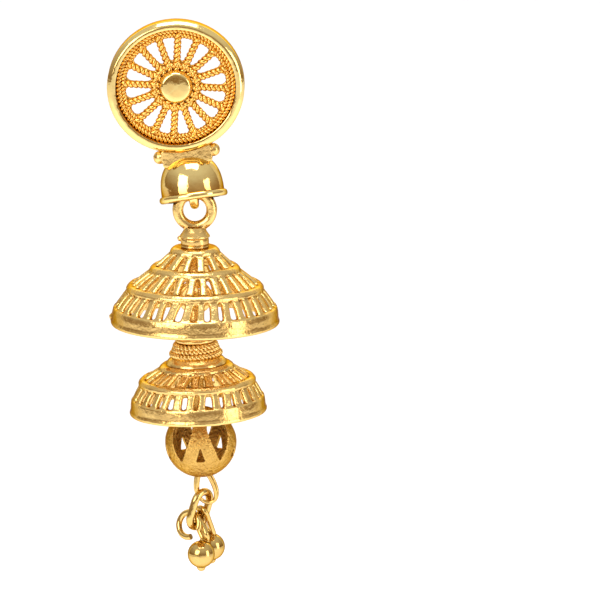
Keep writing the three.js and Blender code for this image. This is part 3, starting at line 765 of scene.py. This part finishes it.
stub_centre = (hang.x - COLLAR_R * 0.97, hang.y - STUB_FORWARD, collar_top - STUB_DROP)
stub = ball_mesh("stub", STUB_R, stub_centre)
upper_loop = finished("loop_and_collar", [collar, loop_ring, stub], cast_gold, voxel=0.07, soften=3)
fitted(upper_loop, "upper_drop", "cast_gold_finish", "upper_loop")


# Upper bell: cast brass, gold plated and tumbled. Slanted bars, 14, 27 and 34 of them, stand
# between raised rings, and the eye for the lower tier is soldered under the crown.
UPPER_RIM_R = 9.1
UPPER_HEIGHT = 8.2
BELL_WALL = 0.65
RING_PROUD = 0.28
RING_HALF = 0.4
RING_SQUARED = 0.6
RIM_LIP_HALF = 0.3
RIM_DRAFT = 0.02
RIM_SHOULDERS = (-0.15, 0.12)
RIM_STUB_R = 0.34
RIM_STUB_RISE = 0.75
BELL_SIDES = 128
RING_SIDES = 16
BAR_WIDTH = 0.84
BAR_SLANT = 0.3
BAR_FLARE = 0.55
BAR_BULGE = 0.06
BAR_STEPS = 6
BAR_SHIFT = 0.16
BAR_TILT = 0.14
BAR_WIDENING = (0.82, 1.2)
UPPER_SEED = 3
UPPER_RINGS = [(0.255, 1.0), (0.5, 0.755), (0.785, 0.5), (0.97, 0.21)]
UPPER_BARS = [14, 27, 34]
INNER_EYE_R = 1.1
INNER_EYE_WIRE_R = 0.4

# A bar's section: how far out it reaches, how far to the side as a share of half its width,
# and whether the bulge of its face lifts it.
BAR_SECTION = [
    (0.06, -0.75, True),
    (0.06, 0.75, True),
    (-0.12, 1, False),
    (-0.56, 0.9, False),
    (-0.56, -0.9, False),
    (-0.12, -1, False),
]

# Bars: copies of one bar set evenly round the axis, each a little turned, tilted and widened
# by chance, and added to the rings that the tree is given.
kinds = {
    "Bar": "Object",
    "Count": "Int",
    "Level": "Float",
    "Unevenness": "Float",
    "Seed": "Int",
    "Material": "Material",
}
bar_band, given = new_tree("band of bars", kinds)
spots = add(bar_band, "GeometryNodePoints", links={"Count": given["Count"]})
index = add(bar_band, "GeometryNodeInputIndex").outputs["Index"]
share = add(bar_band, "ShaderNodeMath", {"operation": "DIVIDE"}, {0: index, 1: given["Count"]})
turn = add(bar_band, "ShaderNodeMath", {"operation": "MULTIPLY", 1: 2 * math.pi}, {0: share.outputs[0]})
least = add(bar_band, "ShaderNodeMath", {"operation": "MULTIPLY", 1: -1}, {0: given["Unevenness"]})
shift = add(
    bar_band,
    "FunctionNodeRandomValue",
    links={2: least.outputs[0], 3: given["Unevenness"], "Seed": given["Seed"]},
)
chances = []
for seed_step, low, high in ((7, -BAR_TILT, BAR_TILT), (19, *BAR_WIDENING)):
    seed = add(bar_band, "ShaderNodeMath", {"operation": "ADD", 1: seed_step}, {0: given["Seed"]})
    chance = add(bar_band, "FunctionNodeRandomValue", {2: low, 3: high}, {"Seed": seed.outputs[0]})
    chances.append(chance.outputs[1])
tilt, widening = chances
around = add(bar_band, "ShaderNodeMath", {"operation": "ADD"}, {0: turn.outputs[0], 1: shift.outputs[1]})
rotation = add(bar_band, "ShaderNodeCombineXYZ", links={"X": tilt, "Z": around.outputs[0]})
size = add(bar_band, "ShaderNodeCombineXYZ", {"X": 1, "Z": 1}, {"Y": widening})
place = add(bar_band, "ShaderNodeCombineXYZ", links={"Z": given["Level"]})
raised = add(
    bar_band,
    "GeometryNodeSetPosition",
    links={"Geometry": spots.outputs[0], "Offset": place.outputs["Vector"]},
)
bar_shape = add(bar_band, "GeometryNodeObjectInfo", links={"Object": given["Bar"]})
bars = add(
    bar_band,
    "GeometryNodeInstanceOnPoints",
    links={
        "Points": raised.outputs["Geometry"],
        "Instance": bar_shape.outputs["Geometry"],
        "Rotation": rotation.outputs["Vector"],
        "Scale": size.outputs["Vector"],
    },
)
rings_and_bars = add(bar_band, "GeometryNodeJoinGeometry", links={"Geometry": given["Geometry"]})
bar_band.links.new(bars.outputs["Instances"], rings_and_bars.inputs["Geometry"])
closed_off(bar_band, rings_and_bars.outputs["Geometry"], given["Material"])


def bar_between(above, below):
    """One flat-topped bar of the wall, from ring to ring, about the middle of its height."""
    middle_z = (above.y + below.y) / 2
    along = (below - above).normalized()
    out = Vector((-along.y, along.x))
    points, faces = [], []
    for step in range(BAR_STEPS + 1):
        share = step / BAR_STEPS
        spot = above.lerp(below, share)
        half = BAR_WIDTH / 2 * (1 + BAR_FLARE * (2 * share - 1) ** 4)
        skew = BAR_SLANT * (0.5 - share)
        bulge = BAR_BULGE * (1 - (2 * share - 1) ** 2)
        for depth, side, lifted in BAR_SECTION:
            flat = spot + out * (depth + bulge * lifted)
            points.append((flat.x, side * half + skew, flat.y - middle_z))
    corners = len(BAR_SECTION)
    for step in range(BAR_STEPS):
        for k in range(corners):
            a, b = step * corners + k, step * corners + (k + 1) % corners
            faces.append((a, a + corners, b + corners, b))
    faces.append(tuple(range(corners))[::-1])
    faces.append(tuple(range(len(points) - corners, len(points))))
    return mesh_object("bar", points, faces), middle_z


def pierced_bell(name, rings, counts, rim_r, height, seed):
    """Rings, rim band and crown of a bell about Z, its crown at Z = 0, with bands of bars."""
    places = [Vector((radius * rim_r, (level - 1) * height)) for radius, level in rings]
    parts = []
    for i, place in enumerate(places[:-1]):
        along = (places[i + 1] - places[max(i - 1, 0)]).normalized()
        out = Vector((-along.y, along.x))
        section = []
        for k in range(RING_SIDES):
            turn = 2 * math.pi * (k + 0.5) / RING_SIDES
            round_form = (math.cos(turn), math.sin(turn))
            width, thick = (math.copysign(abs(part) ** RING_SQUARED, part) for part in round_form)
            depth = (RING_PROUD - BELL_WALL) / 2 + (BELL_WALL + RING_PROUD) / 2 * thick
            spot = place + along * (RING_HALF * 1.15 * width) + out * depth
            section.append((spot.x, spot.y))
        parts.append(turned("ring", section, BELL_SIDES, closed=True))
    last = places[-1]
    rim = [
        (last.x + RIM_SHOULDERS[0], last.y + RING_HALF * 0.7),
        (last.x + RIM_SHOULDERS[1], last.y + RING_HALF * 0.4),
        (rim_r - RIM_DRAFT, last.y - RING_HALF),
        (rim_r + RIM_DRAFT, -height + RIM_LIP_HALF * 1.6),
        (rim_r + RING_PROUD / 2, -height + RIM_LIP_HALF * 1.3),
        (rim_r + RING_PROUD / 2, -height + RIM_LIP_HALF * 0.5),
        (rim_r, -height),
        (rim_r - BELL_WALL, -height),
        (rim_r - BELL_WALL, last.y - RING_HALF),
        (last.x - BELL_WALL, last.y + RING_HALF * 0.4),
    ]
    parts.append(turned("rim", rim, BELL_SIDES, closed=True))
    first = places[0]
    crown = [
        (0, RING_HALF),
        (first.x, first.y + RING_HALF * 0.9),
        (first.x, first.y - BELL_WALL * 0.7),
        (0, -BELL_WALL),
    ]
    parts.append(turned("crown", crown, BELL_SIDES // 2))
    shell = bpy.data.objects.new(name, plain_mesh(parts))
    scene.collection.objects.link(shell)
    patterns = []
    for band, count in enumerate(counts):
        bar, level = bar_between(places[band], places[band + 1])
        patterns.append(bar)
        values = {
            "Bar": bar,
            "Count": count,
            "Level": level,
            "Unevenness": BAR_SHIFT * math.pi / count,
            "Seed": seed + band,
            "Material": cast_gold,
        }
        with_tree(shell, bar_band, values)
    return shell, patterns


bell_level = bell_top - SEAT_GAP - RING_HALF
shell, patterns = pierced_bell(
    "upper shell", UPPER_RINGS, UPPER_BARS, UPPER_RIM_R, UPPER_HEIGHT, UPPER_SEED
)
shell.matrix_world = Matrix.Translation((hang.x, hang.y, bell_level))
swing = joint_places["lower_swing"]
eye_centre = swing + Vector((0, 0, INNER_EYE_R))
inner_eye = torus_mesh("eye", INNER_EYE_R, INNER_EYE_WIRE_R, Matrix.Translation(eye_centre) @ edge_on)
eye_top = eye_centre + Vector((0, 0, INNER_EYE_R))
eye_stem = stem_mesh(INNER_EYE_WIRE_R * 1.5, bell_level - BELL_WALL / 2 - eye_top.z, eye_top)
stub_centre = (hang.x - UPPER_RIM_R, hang.y, bell_level - UPPER_HEIGHT + RIM_STUB_RISE)
rim_stub = ball_mesh("stub", RIM_STUB_R, stub_centre)
upper_parts = [shell, inner_eye, eye_stem, rim_stub]
upper_bell = finished("upper_bell_pierced", upper_parts, cast_gold, voxel=0.12, soften=5)
for pattern in patterns:
    bpy.data.objects.remove(pattern)
fitted(upper_bell, "upper_drop", "cast_gold_finish", "upper_bell")


# Lower neck: a cast ring on a stem over a turned plate and flange, with three rings of twisted
# wire soldered between them. Brass, gold plated.
NECK_PLATE_R = 2.25
NECK_HEIGHT = 2.75
NECK_BELOW_EYE = 4.9
LOWER_LEAN = math.radians(-2.1)
LOWER_EYE_HOLE_R = 1.05
LOWER_EYE_WIRE_R = 0.42
LOWER_EYE_STEM_R = 0.75
STEM_BITE = 0.3

# The neck's outline in shares of the plate's radius and the neck's height, and the level and
# radius of each rope in the same shares, with its wire's radius.
NECK_PROFILE = [
    (0, 0),
    (0.86, 0),
    (0.97, -0.03),
    (1, -0.09),
    (0.97, -0.17),
    (0.86, -0.22),
    (0.95, -0.5),
    (1.1, -0.7),
    (1.22, -0.79),
    (1.34, -0.87),
    (1.45, -0.97),
    (1.48, -1.06),
    (0, -1.06),
]
NECK_ROPES = [(-0.33, 0.95, 0.2), (-0.48, 1.02, 0.19), (-0.66, 1.16, 0.18)]

neck_centre = swing - Vector((0, 0, NECK_BELOW_EYE))
lower_frame = Matrix.Translation(neck_centre) @ Matrix.Rotation(LOWER_LEAN, 4, "Y")
neck_rows = [(out * NECK_PLATE_R, level * NECK_HEIGHT) for out, level in NECK_PROFILE]
neck_body = turned("neck", neck_rows, 72)
neck_ropes = [rope_ring(NECK_PLATE_R * out, level * NECK_HEIGHT, wire_r) for level, out, wire_r in NECK_ROPES]
lower_eye_r = LOWER_EYE_HOLE_R + LOWER_EYE_WIRE_R
lower_eye_centre = swing + Vector((0, 0, RING_GAP + INNER_EYE_WIRE_R - LOWER_EYE_HOLE_R))
eye_frame = lower_frame.inverted() @ Matrix.Translation(lower_eye_centre)
lower_eye = torus_mesh("eye", lower_eye_r, LOWER_EYE_WIRE_R, eye_frame @ upright)
long_stem = lower_eye_centre.z - lower_eye_r - neck_centre.z + STEM_BITE
stem_rows = [
    (0, 0.1),
    (LOWER_EYE_STEM_R * 0.8, 0.05),
    (LOWER_EYE_STEM_R, -STEM_BITE),
    (LOWER_EYE_STEM_R, 2 * STEM_BITE - long_stem),
    (LOWER_EYE_STEM_R * 1.3, -long_stem),
    (0, -long_stem),
]
lower_stem = turned("stem", stem_rows, 32)
lower_stem.matrix_world = eye_frame @ Matrix.Translation((0, 0, -lower_eye_r))
neck = finished("neck_with_eye", [neck_body, lower_eye, lower_stem], cast_gold, lower_frame, sharp=50)
fitted(neck, "lower_drop", "cast_gold_finish", "lower_neck")
cording = finished("neck_cording", neck_ropes, cast_gold, lower_frame)
fitted(cording, "lower_drop", "cast_gold_finish", "lower_neck")


# Lower bell: a second, narrower cast bell with bands of 20 and 30 bars, made and finished as
# the upper one, and soldered under the flange.
LOWER_RIM_R = 7.4
LOWER_HEIGHT = 5.2
LOWER_RINGS = [(0.5, 1.0), (0.82, 0.7), (0.97, 0.3)]
LOWER_BARS = [20, 30]
LOWER_SEED = 23
shell, patterns = pierced_bell(
    "lower shell", LOWER_RINGS, LOWER_BARS, LOWER_RIM_R, LOWER_HEIGHT, LOWER_SEED
)
shell.matrix_world = Matrix.Translation((0, 0, -NECK_HEIGHT - SEAT_GAP - RING_HALF))
lower_bell = finished("lower_bell_pierced", [shell], cast_gold, lower_frame, voxel=0.1, soften=7)
for pattern in patterns:
    bpy.data.objects.remove(pattern)
fitted(lower_bell, "lower_drop", "cast_gold_finish", "lower_bell")


# Pierced ball: two cast half shells soldered together, with five tall windows and five small
# ones low between them. The gold plated brass is left satin, with a stippled skin.
BALL_R = 3.93
BALL_WALL = 0.5
BALL_DROP = 11.8
BALL_SHIFT = 0.13
BALL_WINDOWS = 5
BALL_STEM_R = 0.7
BALL_HOLE_R = 0.4
BALL_HOLE_HALF = 0.6
BALL_HOLE_SPREAD = 0.58
CUTTER_OUT = 0.8

# Half the outline of a window, in shares of its width and of the ball's radius.
TALL_WINDOW = [
    (0, -0.4),
    (0.13, -0.27),
    (0.27, -0.09),
    (0.39, 0.1),
    (0.47, 0.28),
    (0.5, 0.44),
    (0.46, 0.58),
    (0.3, 0.69),
    (0.12, 0.72),
]
TALL_WIDTH = 2.5
SMALL_WINDOW = [(0.5, -0.38), (0.24, -0.16), (0, 0.06)]
SMALL_WIDTH = 1.0
# Its second colour is the deeper gold painted into its hollows as shade.
satin_gold = gold_plated("satin gold plated brass", "D6AC5E", "94601F", 0.27, 0.08, 0.34, 0.22, 0.08)


def window_cutter(half_outline, width, turn):
    """A cutter for one window of the ball, reaching outwards from inside it."""
    right = [(across * width, up * BALL_R) for across, up in half_outline]
    left = [(-across, up) for across, up in right[::-1] if across > 0]
    cutter = flat_form("cutter", [right + left], BALL_R)
    standing = Matrix.Translation((0, -BALL_R * CUTTER_OUT, 0)) @ upright
    cutter.matrix_world = Matrix.Rotation(turn, 4, "Z") @ standing
    return cutter


globe = ball_mesh("globe", BALL_R, (0, 0, 0), sides=64)
cutters = [ball_mesh("hollow", BALL_R - BALL_WALL, (0, 0, 0), sides=64)]
for i in range(BALL_WINDOWS):
    turn = 2 * math.pi * i / BALL_WINDOWS
    cutters.append(window_cutter(TALL_WINDOW, TALL_WIDTH, turn + math.pi / BALL_WINDOWS))
    cutters.append(window_cutter(SMALL_WINDOW, SMALL_WIDTH, turn))
hole_rows = [
    (0, BALL_HOLE_HALF),
    (BALL_HOLE_R, BALL_HOLE_HALF),
    (BALL_HOLE_R, -BALL_HOLE_HALF),
    (0, -BALL_HOLE_HALF),
]
for side in (-1, 1):
    hole = turned("hole", hole_rows, 20)
    hole.matrix_world = Matrix.Translation((side * BALL_HOLE_SPREAD, 0, -BALL_R * 0.95))
    cutters.append(hole)
for cutter in cutters:
    cut = globe.modifiers.new("cut", "BOOLEAN")
    cut.operation = "DIFFERENCE"
    cut.object = cutter
ball_frame = lower_frame @ Matrix.Translation((BALL_SHIFT, 0, -BALL_DROP))
ball_shell = bpy.data.objects.new("shell", plain_mesh([globe]))
scene.collection.objects.link(ball_shell)
for cutter in cutters:
    bpy.data.objects.remove(cutter)
stem_top = BALL_DROP - (NECK_HEIGHT + 3 * SEAT_GAP + RING_HALF + BELL_WALL)
stem_rows = [
    (0, stem_top),
    (BALL_STEM_R * 1.2, stem_top),
    (BALL_STEM_R, stem_top - 0.4),
    (BALL_STEM_R, BALL_R + 0.1),
    (BALL_STEM_R * 1.5, BALL_R - 0.25),
    (0, BALL_R - 0.4),
]
ball_stem = turned("stem", stem_rows, 32)
ball_stem.matrix_world = Matrix.Translation((-BALL_SHIFT, 0, 0))
ball = finished("ball_pierced", [ball_shell, ball_stem], satin_gold, ball_frame, voxel=0.08, soften=3)
fitted(ball, "lower_drop", "satin_gold_finish", "pierced_ball")


# Tassel: links bent from brass wire and two round drops on soldered eyes, gold plated. The
# first link is a thin wire wound twice through the ball, the third one a ring left open.
TASSEL_LENGTH = 10
LINK_1_WIRE_R = 0.21
LINK_1_TOP_WIDTH = 0.62
LINK_1_LOW_WIDTH = 1.36
LINK_1_SPREAD = 0.75
LINK_1_PITCH = 0.8
LINK_1_STEPS = 60
LINK_2_HALF = 1.2
LINK_2_WIRE_R = 0.42
OPEN_RING_R = 1.38
OPEN_RING_WIRE_R = 0.33
OPEN_RING_SPAN = (-30, 282)
OPEN_RING_STEPS = 48
LOOP_END_STEPS = 16
EYE_HALVES = (0.64, 0.62)
EYE_WIRE_R = 0.3
DROP_R = 1.5
DROP_NECK_R = (0.45, 0.38)
NUB_R = 0.5

# Middle lines from the ball's lowest point, in shares of the tassel's length: the two ends of
# a loop, and how far it is turned about its own length, in degrees. The open ring has its
# centre, its turn about the vertical and its tilt.
FIRST_LINK = ((0, 0, 0.095), (0.07, 0, -0.298))
SECOND_LINK = ((0.03, -0.01, -0.173), (-0.087, -0.033, -0.562), 41.8)
OPEN_RING = ((-0.148, -0.032, -0.539), -38.4, 20)
EYES = (
    ((-0.074, 0.064, -0.469), (0.045, -0.052, -0.712), -32.7),
    ((-0.009, 0.01, -0.364), (0.091, 0.176, -0.706), -36.1),
)
DROPS = ((-0.013, -0.125, -0.85), (0.095, 0.17, -0.84))

# Its second colour is the deeper gold painted into its hollows as shade.
drawn_gold = gold_plated("drawn and tumbled gold plated brass", "DEBB72", "9C722E", 0.12, 0.05, 0.5, 0.008)

# Round wire: a circle of the wire's radius drawn along each path of edges.
kinds = {"Wire Radius": "Float", "Step": "Float", "Material": "Material"}
round_wire, given = new_tree("round wire", kinds)
path = add(round_wire, "GeometryNodeMeshToCurve", links={"Mesh": given["Geometry"]})
even = add(
    round_wire,
    "GeometryNodeResampleCurve",
    {"mode": "LENGTH"},
    {"Curve": path.outputs["Curve"], "Length": given["Step"]},
)
section = add(
    round_wire, "GeometryNodeCurvePrimitiveCircle", {"Resolution": 20}, {"Radius": given["Wire Radius"]}
)
wire = add(
    round_wire,
    "GeometryNodeCurveToMesh",
    {"Fill Caps": True},
    {"Curve": even.outputs["Curve"], "Profile Curve": section.outputs["Curve"]},
)
closed_off(round_wire, wire.outputs["Mesh"], given["Material"])


def bent_wire(path, closed, wire_radius):
    thing = paths_object("wire", [(path, closed)])
    values = {"Wire Radius": wire_radius, "Step": wire_radius / 3, "Material": drawn_gold}
    with_tree(thing, round_wire, values)
    return thing


def tassel_place(share):
    return Vector(share) * TASSEL_LENGTH


def long_loop(top, low, turn, half):
    """A long loop with round ends, in the plane of its length and the turned Y direction."""
    length = tassel_place(low) - tassel_place(top)
    along = length.normalized()
    across = (Vector((0, 1, 0)) - along * along.y).normalized()
    across = Matrix.Rotation(math.radians(turn), 3, along) @ across
    middle = (tassel_place(top) + tassel_place(low)) / 2
    points = []
    for end in (-1, 1):
        for k in range(LOOP_END_STEPS + 1):
            bend = math.pi * k / LOOP_END_STEPS
            reach = end * (length.length / 2 - half + half * math.sin(bend))
            points.append(middle - across * (end * half * math.cos(bend)) + along * reach)
    return points


tassel_frame = Matrix.Translation(ball_frame @ Vector((0, 0, -BALL_R)))
first_path = []
for i in range(2 * LINK_1_STEPS):
    bend = 2 * math.pi * i / LINK_1_STEPS
    share = (1 - math.cos(bend)) / 2
    width = LINK_1_TOP_WIDTH + (LINK_1_LOW_WIDTH - LINK_1_TOP_WIDTH) * share
    width += LINK_1_WIRE_R * LINK_1_SPREAD * math.cos(bend / 2)
    beside = LINK_1_WIRE_R * LINK_1_PITCH * math.cos(bend / 2)
    point = tassel_place(FIRST_LINK[0]).lerp(tassel_place(FIRST_LINK[1]), share)
    first_path.append(point + Vector((width * math.sin(bend), beside, 0)))
link_1 = finished("first_link", [bent_wire(first_path, True, LINK_1_WIRE_R)], drawn_gold, tassel_frame)
fitted(link_1, "lower_drop", "polished_gold_finish", "tassel_link_1")

second_path = long_loop(*SECOND_LINK, LINK_2_HALF)
link_2 = finished("second_link", [bent_wire(second_path, True, LINK_2_WIRE_R)], drawn_gold, tassel_frame)
fitted(link_2, "lower_drop", "polished_gold_finish", "tassel_link_2")

ring_centre = tassel_place(OPEN_RING[0])
ring_turn, ring_tilt, *ring_ends = (math.radians(degrees) for degrees in OPEN_RING[1:] + OPEN_RING_SPAN)
rise = Vector((0, math.sin(ring_tilt), math.cos(ring_tilt)))
across = Vector((math.cos(ring_turn), math.sin(ring_turn), 0))
across = (across - rise * across.dot(rise)).normalized()
ring_path = []
for i in range(OPEN_RING_STEPS + 1):
    bend = ring_ends[0] + (ring_ends[1] - ring_ends[0]) * i / OPEN_RING_STEPS
    spot = across * (OPEN_RING_R * math.cos(bend)) + rise * (OPEN_RING_R * math.sin(bend))
    ring_path.append(ring_centre + spot)
ring_wire = bent_wire(ring_path, False, OPEN_RING_WIRE_R)
link_3 = finished("open_ring", [ring_wire], drawn_gold, tassel_frame, sharp=40)
fitted(link_3, "lower_drop", "polished_gold_finish", "tassel_link_3")

# Drops: a ball with a nub under it and a neck up to the eye, all soldered and polished over.
for side, node, eye, half, place in zip(
    ("front", "back"), ("tassel_drop_1", "tassel_drop_2"), EYES, EYE_HALVES, DROPS
):
    centre = tassel_place(place)
    lift = tassel_place(eye[1]) - centre
    low_r, high_r = DROP_NECK_R
    stem = turned("neck", [(0, 0), (low_r, 0), (high_r, lift.length), (0, lift.length)], 20)
    stem.matrix_world = Matrix.Translation(centre) @ lift.to_track_quat("Z", "Y").to_matrix().to_4x4()
    parts = [
        bent_wire(long_loop(*eye, half), True, EYE_WIRE_R),
        stem,
        ball_mesh("drop", DROP_R, centre, sides=40),
        ball_mesh("nub", NUB_R, centre - Vector((0, 0, DROP_R * 0.95))),
    ]
    drop = finished(side + "_drop", parts, drawn_gold, tassel_frame, voxel=0.05, soften=3)
    fitted(drop, "lower_drop", "polished_gold_finish", node)
